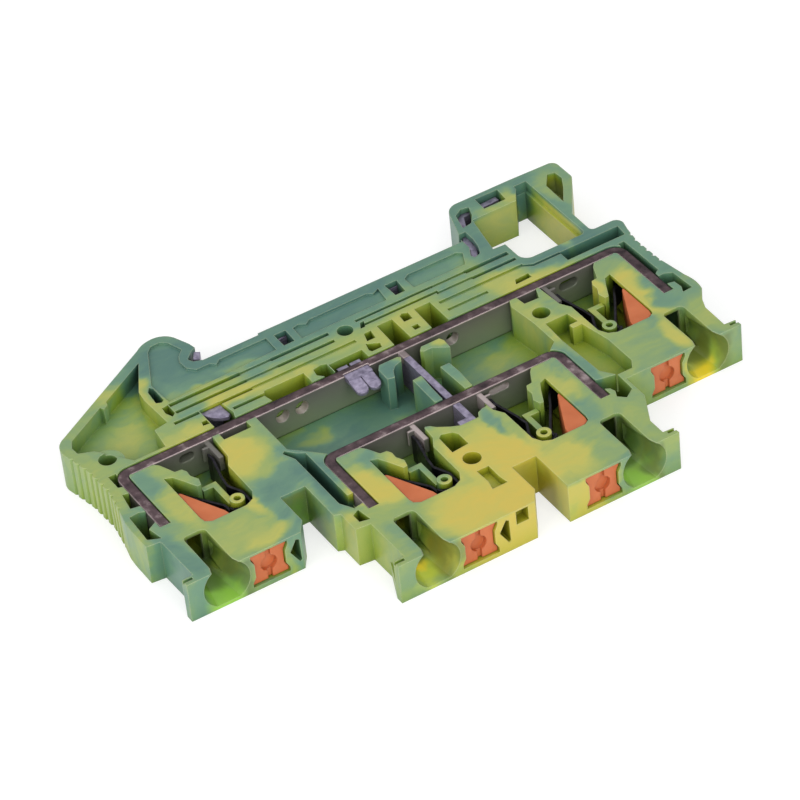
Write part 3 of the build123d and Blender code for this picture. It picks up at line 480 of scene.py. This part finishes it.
tone = plastic.noise(bent, broad_scale) * broad_swing + (rest_tone - broad_swing / 2)
for depth_share, rows in ((swirl_share, swirls), (below * swirl_share, deep_swirls_and_painted_light)):
    for swirl_x, swirl_y, along, across, target in rows:
        cover = covered(swirl_x, swirl_y, along, across) * depth_share
        tone = tone + cover * (target - tone)
slot_shade = 1.0
for shade_x, shade_y, along, across, loss in shades:
    slot_shade = slot_shade * (1.0 - covered(shade_x, shade_y, along, across) * below * loss)
streak_map = plastic.add(
    "ShaderNodeMapping", Vector=bent, Rotation=(0, 0, 0.5), Scale=(1.0, 3.2, 1.0)
)
streaks = plastic.noise(streak_map, streak_scale, detail=3.0, roughness=0.55)
tone = tone + streaks * streak_swing - streak_swing / 2
hue = plastic.ramp(tone, (0.06, teal), (0.28, green), (0.50, lime), (0.73, straw), (0.98, yellow))

# Painted shade: corners are darker and lose most of their blue where the plastic is yellow
corner = plastic.add(
    "ShaderNodeAmbientOcclusion", output=1, settings={"samples": 6}, Distance=corner_reach
)
painted_shade = plastic.fade(corner, closed_corner, lit_corner, To_Min=corner_darkest) * slot_shade
open_share = plastic.fade(corner, tinted_corner, clear_corner)
sunny = plastic.fade(tone, teal_tone, yellow_tone)
closed_share = 1.0 - open_share
painted_shade_tint = plastic.add(
    "ShaderNodeCombineColor",
    Red=painted_shade * (1.0 - closed_share * red_loss),
    Green=painted_shade * (1.0 - closed_share * green_loss),
    Blue=painted_shade * (1.0 - closed_share * (sunny * blue_loss_yellow + blue_loss)),
)
hue = plastic.mix(1.0, hue, painted_shade_tint, blend="MULTIPLY")
low = plastic.fade(height, low_start, low_whole)
# Painted glow in the funnels and the foot's window, and painted shade in the slots, notch and gap
for paint_x, paint_y, along, across, colour in low_painted_light_and_shade:
    share = covered(paint_x, paint_y, along, across) * low * low_painted_light_share
    hue = plastic.mix(share, hue, colour)

# Painted highlight: edges are paler, which shows where the rounded normal leaves the flat one
edge_round = plastic.rounded(edge_radius)
flat_way = plastic.add("ShaderNodeNewGeometry", output=1)
same_way = plastic.vector("DOT_PRODUCT", edge_round, flat_way, output=1)
painted_rim_highlight = plastic.fade(same_way, rim_start, rim_whole) * open_share
hue = plastic.mix(painted_rim_highlight * rim_highlight_share, hue, rim_highlight_colour)
relief = plastic.add(
    "ShaderNodeBump",
    Strength=grain_strength,
    Distance=grain_depth,
    Height=plastic.noise(place, grain_scale, detail=1.0),
    Normal=edge_round,
)
moulded = plastic.add(
    "ShaderNodeBsdfPrincipled",
    Base_Color=hue,
    Roughness=plastic.noise(place, shine_scale) * 0.12 + 0.34,
    Normal=relief,
    Subsurface_Weight=0.08,
    Subsurface_Radius=(1.0, 0.9, 0.35),
    Subsurface_Scale=0.0006,
    Specular_IOR_Level=0.45,
)
dress("housing", plastic.finish(moulded))

# The busbars. Copper strip, punched and bent. The rolled faces are a smooth dull grey with a
# painted green reflection of the housing, stronger low down, and the sheared edges have gone
# purple-brown and have rubbed bright in places. Their top rims carry a painted highlight and
# painted shade, and the pale walls of the punched holes are partly a painted highlight.
face_grey = paint(110, 108, 102)
face_low_green_reflection = paint(138, 150, 122)
edge_dark = paint(52, 42, 46)
edge_plain = paint(98, 80, 84)
edge_pink = paint(214, 196, 196)
# Heights over which the faces change from low to high and then to the top edge, and how far
# from the middle of the part the punched holes reach
face_bottom, face_top = 0.0010, 0.0046
edge_start, edge_whole = 0.00488, 0.00500
holes_end, holes_whole = 0.0155, 0.0150
edge_radius = 0.00024
# How far the rounded edge leans toward +X and +Y where its rim starts and is whole
rim_start, rim_whole = 0.12, 0.50
painted_dark_rim_share = 0.8
pale_cut_and_highlight_share = 0.55
mottle_scale = 620.0
patch_scale = 170.0

copper = Shader("busbar_metal")
place = copper.place()
mottle = copper.noise(place, mottle_scale, detail=4.0, roughness=0.62)
patches = copper.noise(place, patch_scale)
stain = copper.ramp(
    mottle * 0.65 + patches * 0.35, (0.36, edge_dark), (0.54, edge_plain), (0.78, edge_pink)
)
height = copper.part_of(place, "z")
on_edge = copper.fade(height, edge_start, edge_whole)
# Painted reflection: the faces turn greener low down, as if the green housing showed in them
rolled_face_and_reflection = copper.mix(copper.fade(height, face_bottom, face_top), face_low_green_reflection, face_grey)
wear_and_painted_light = copper.mix(on_edge, rolled_face_and_reflection, stain)
# Painted highlight and painted shade: the rim of the top edge is bright on the sides toward -X
# and -Y, and dark on the others
edge_round = copper.rounded(edge_radius, samples=6)
tilt_y = copper.part_of(edge_round, "y")
tilt = copper.part_of(edge_round, "x") + tilt_y
painted_bright_rim = copper.fade(tilt, -rim_start, -rim_whole) * on_edge
wear_and_painted_light = copper.mix(painted_bright_rim * (mottle + 0.45), wear_and_painted_light, edge_pink)
painted_dark_rim = copper.fade(tilt, rim_start, rim_whole) * on_edge
wear_and_painted_light = copper.mix(painted_dark_rim * painted_dark_rim_share, wear_and_painted_light, edge_dark)
# The walls of the punched holes, which face along the strip, are pale like a fresh cut, and the
# pale is partly a painted highlight
facing_out = copper.add("ShaderNodeMath", settings={"operation": "ABSOLUTE"}, Value=tilt_y)
from_middle = copper.add(
    "ShaderNodeMath", settings={"operation": "ABSOLUTE"}, Value=copper.part_of(place, "x")
)
pale_cut_and_highlight = copper.fade(facing_out, 0.7, 0.4) * (1.0 - on_edge)
pale_cut_and_highlight = pale_cut_and_highlight * copper.fade(from_middle, holes_end, holes_whole)
wear_and_painted_light = copper.mix(pale_cut_and_highlight * pale_cut_and_highlight_share, wear_and_painted_light, edge_pink)
relief = copper.add(
    "ShaderNodeBump", Strength=0.35, Distance=0.00008, Height=mottle * on_edge, Normal=edge_round
)
bar = copper.add(
    "ShaderNodeBsdfPrincipled",
    Base_Color=wear_and_painted_light,
    Metallic=on_edge * 0.4 + 0.35,
    Roughness=mottle * 0.2 + 0.26,
    Normal=relief,
)
bar_material = copper.finish(bar)
for node in ("lower_busbar", "upper_busbar"):
    dress(node, bar_material)

# The link, the rail contact, the clip and the strap end. Copper sheet, punched and folded,
# with a fresh tin plating, bright and a little blue, with fine scratches from forming.
tin_light = paint(172, 164, 188)
tin_dark = paint(104, 98, 120)
scratch_scale = 1500.0
scratch_squeeze = 6.0
edge_radius = 0.00018

tin = Shader("link_metal")
place = tin.place()
long_way = tin.add("ShaderNodeMapping", Vector=place, Scale=(1.0, 1.0, scratch_squeeze))
cloud = tin.noise(long_way, scratch_scale, detail=4.0, roughness=0.55)
relief = tin.add(
    "ShaderNodeBump", Strength=0.2, Distance=0.00005, Height=cloud, Normal=tin.rounded(edge_radius)
)
tinned = tin.add(
    "ShaderNodeBsdfPrincipled",
    Base_Color=tin.ramp(cloud, (0.25, tin_dark), (0.72, tin_light)),
    Metallic=0.6,
    Roughness=cloud * 0.2 + 0.26,
    Normal=relief,
)
tin_material = tin.finish(tinned)
for node in ("cross_link", "rail_contact", "earth_clip", "strap_end"):
    dress(node, tin_material)

# The clamping springs. Thin hardened steel strip, dark from its heat treatment, bent
# round its post with its ends free.
steel_dark = paint(20, 20, 25)
steel_light = paint(46, 44, 52)
mark_scale = 1500.0
edge_radius = 0.00008

steel = Shader("spring_steel")
scale_marks = steel.noise(steel.place(), mark_scale, detail=3.0)
strip = steel.add(
    "ShaderNodeBsdfPrincipled",
    Base_Color=steel.ramp(scale_marks, (0.35, steel_dark), (0.70, steel_light)),
    Metallic=0.8,
    Roughness=scale_marks * 0.2 + 0.22,
    Normal=steel.rounded(edge_radius),
)
spring_material = steel.finish(strip)
for key in "abcd":
    dress("spring_" + key, spring_material)

# The release buttons. Satin orange mouldings with softly rounded edges, a little
# paler in broad soft clouds and with the fine texture of the mould.
orange_deep = paint(186, 98, 54)
orange_pale = paint(202, 114, 70)
cloud_scale = 320.0
edge_radius = 0.00016

orange = Shader("button_plastic")
place = orange.place()
cloud = orange.noise(place, cloud_scale)
relief = orange.add(
    "ShaderNodeBump",
    Strength=grain_strength,
    Distance=grain_depth,
    Height=orange.noise(place, grain_scale, detail=1.0),
    Normal=orange.rounded(edge_radius),
)
satin = orange.add(
    "ShaderNodeBsdfPrincipled",
    Base_Color=orange.ramp(cloud, (0.30, orange_deep), (0.70, orange_pale)),
    Roughness=cloud * 0.1 + 0.40,
    Normal=relief,
    Subsurface_Weight=0.10,
    Subsurface_Radius=(1.0, 0.4, 0.2),
    Subsurface_Scale=0.0006,
    Specular_IOR_Level=0.40,
)
button_material = orange.finish(satin)
for key in "abcd":
    dress("button_" + key, button_material)
